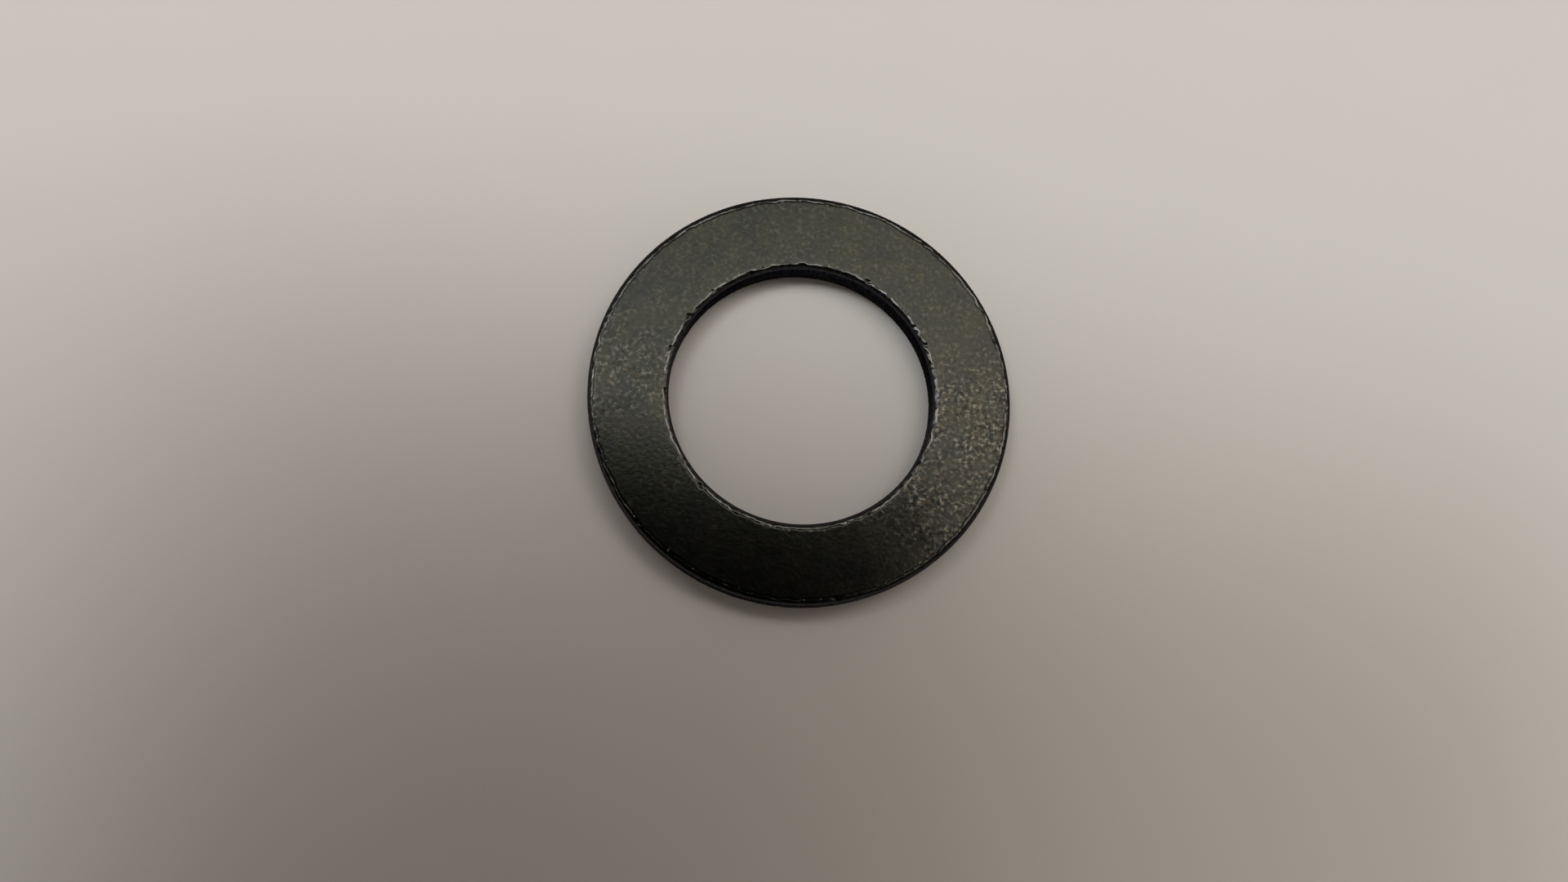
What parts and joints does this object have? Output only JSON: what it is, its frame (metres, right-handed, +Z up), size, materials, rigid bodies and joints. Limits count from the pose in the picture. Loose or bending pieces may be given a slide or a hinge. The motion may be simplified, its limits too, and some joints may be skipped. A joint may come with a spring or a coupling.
{
  "type": "flat washer",
  "caption": "Narrow-rim flat steel washer, stamped from sheet with rounded shoulders and a black oxide finish, that spreads the load of a bolt head or nut.",
  "frame": {"origin": "centre of the underside, on the plane the washer lies on", "axes": "+Z up along the bore, from the underside to the top face with its rounded shoulders; X and Y are interchangeable, because the ring is round"},
  "size_m": [0.0254, 0.0254, 0.0019],
  "materials": {
    "black_oxide_steel": "semi-gloss black oxide over stamped and tumbled steel, fine-grained, worn paler on the shoulders"
  },
  "bodies": {
    "root": {"washer": "black_oxide_steel"}
  },
  "joints": []
}
